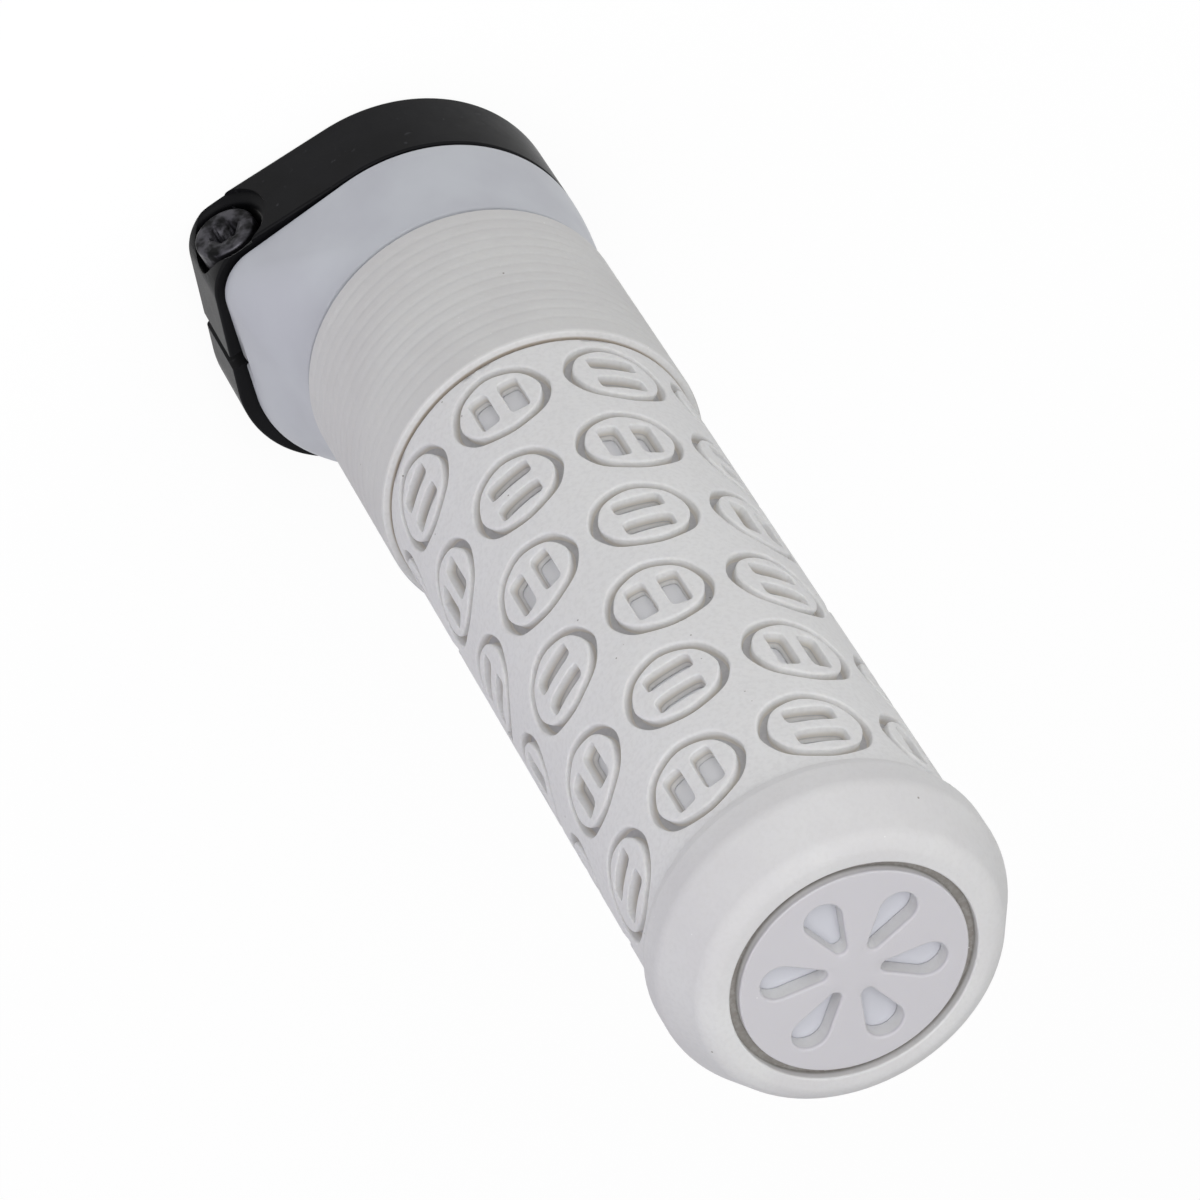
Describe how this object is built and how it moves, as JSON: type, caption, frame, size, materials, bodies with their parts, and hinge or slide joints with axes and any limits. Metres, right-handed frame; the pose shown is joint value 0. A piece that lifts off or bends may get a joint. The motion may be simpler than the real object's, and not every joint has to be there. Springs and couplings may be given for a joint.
{
  "type": "handlebar grip",
  "caption": "Bicycle handlebar grip: ribbed and padded rubber sleeve on a hard core with a closed end, locked on the bar by a split clamp ring with a pinch bolt.",
  "frame": {"origin": "centre of the handlebar bore on the clamp ring's inboard face, which the grip stands on", "axes": "+Z along the handlebar towards its end, +X square to the pinch bolt's head face, +Y towards the pinch bolt's bosses"},
  "size_m": [0.0362, 0.0416, 0.134],
  "materials": {
    "rubber": "matt off-white moulded rubber",
    "core_plastic": "satin bluish-white moulded plastic",
    "anodised_clamp": "black anodised, satin",
    "bolt_steel": "plain steel, slightly worn"
  },
  "bodies": {
    "root": {"grip_sleeve": "rubber", "inner_core": "core_plastic", "clamp_ring": "anodised_clamp", "clamp_bolt": "bolt_steel"}
  },
  "joints": []
}
